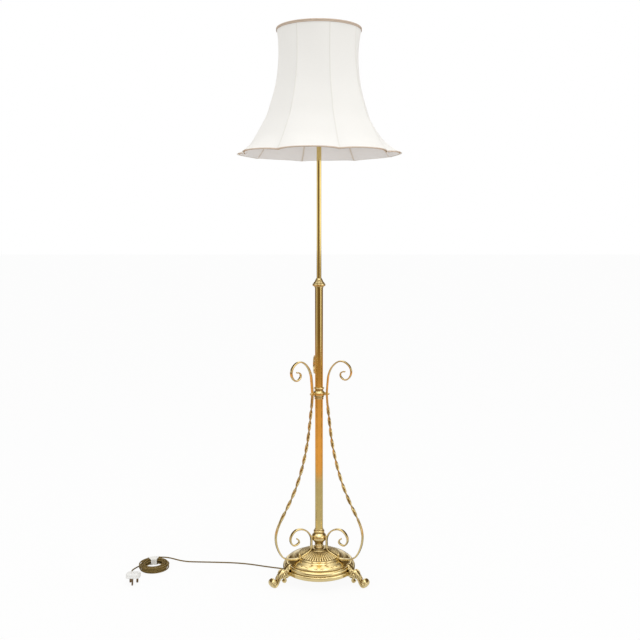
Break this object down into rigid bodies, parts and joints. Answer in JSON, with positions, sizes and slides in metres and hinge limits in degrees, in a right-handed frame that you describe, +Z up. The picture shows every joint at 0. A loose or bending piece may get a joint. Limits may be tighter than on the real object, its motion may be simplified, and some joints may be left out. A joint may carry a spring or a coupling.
{
  "type": "adjustable floor lamp",
  "caption": "Free-standing brass rise-and-fall floor lamp on three scroll feet, with scroll arms, a sliding column with a lock collar, and a panelled fabric shade.",
  "frame": {"origin": "on the floor under the middle of the column", "axes": "+Z up the column, -Y towards the front, +X to the right seen from the front"},
  "size_m": [0.8871, 0.5152, 1.7533],
  "materials": {
    "brass": "polished, lacquered",
    "brass_base": "polished spun sheet",
    "brass_cast": "cast, fettled and polished",
    "brass_bar": "wrought bar, lightly aged",
    "iron": "rough casting",
    "steel": "zinc plated",
    "black_plastic": "moulded",
    "flex": "braided",
    "tie": "woven tape",
    "white_plastic": "moulded",
    "plug_brass": "machined",
    "nylon": "moulded",
    "bakelite": "moulded",
    "bulb_metal": "drawn",
    "bulb_glass": "pearl",
    "cover": "plain woven silk-like cloth",
    "lining": "thin smooth cloth",
    "braid": "woven braid",
    "wire": "brassed wire"
  },
  "bodies": {
    "stand": {"base_dome": "brass_base", "base_weight": "iron", "base_plate": "steel", "knop": "brass", "stem_nipple": "steel", "stem_nut": "steel", "foot_left": "brass_cast", "foot_right": "brass_cast", "foot_rear": "brass_cast", "foot_bolts": "steel", "outer_tube": "brass", "collet": "brass", "arm_collar": "brass", "collar_screws": "brass", "arm_left": "brass_bar", "arm_right": "brass_bar", "arm_rear": "brass_bar", "arm_studs": "brass", "cord_gland": "black_plastic", "base_flex": "flex", "cord_run": "flex", "cord_coil": "flex", "cord_tail": "flex", "coil_tie": "tie", "plug_base": "white_plastic", "plug_cover": "white_plastic", "plug_pins": "plug_brass", "plug_screw": "steel"},
    "lock": {"lock_collar": "brass"},
    "guide": {"guide_bush": "nylon", "column_flex": "flex"},
    "head": {"inner_tube": "brass", "holder_cap": "brass", "holder_skirt": "brass", "holder_insulator": "bakelite", "holder_contacts": "brass", "shade_rings": "bakelite", "bulb_cap": "bulb_metal", "bulb_glass": "bulb_glass", "shade_carrier": "wire"},
    "switch": {"push_bar": "brass"},
    "shade": {"shade_fitter": "wire", "shade_ribs": "wire", "shade_bottom_ring": "wire", "shade_cover": "cover", "shade_lining": "lining", "top_trim": "braid", "bottom_trim": "braid"}
  },
  "joints": [
    {"name": "lock_turn", "type": "hinge", "parent": "stand", "child": "lock", "pos_m": [0, 0, 0.97], "axis": [0, 0, 1], "range_deg": [0, 120]},
    {"name": "height_slide", "type": "slide", "parent": "stand", "child": "guide", "axis": [0, 0, 1], "range_m": [-0.36, 0.05], "deforming": ["column_flex"]},
    {"name": "head_turn", "type": "hinge", "parent": "guide", "child": "head", "pos_m": [0, 0, 1.2], "axis": [0, 0, 1], "range_deg": [-180, 180]},
    {"name": "switch_push", "type": "slide", "parent": "head", "child": "switch", "axis": [1, 0, 0], "range_m": [0, 0.004]},
    {"name": "shade_turn", "type": "hinge", "parent": "head", "child": "shade", "pos_m": [0, 0, 1.64], "axis": [0, 0, 1], "continuous": true}
  ]
}
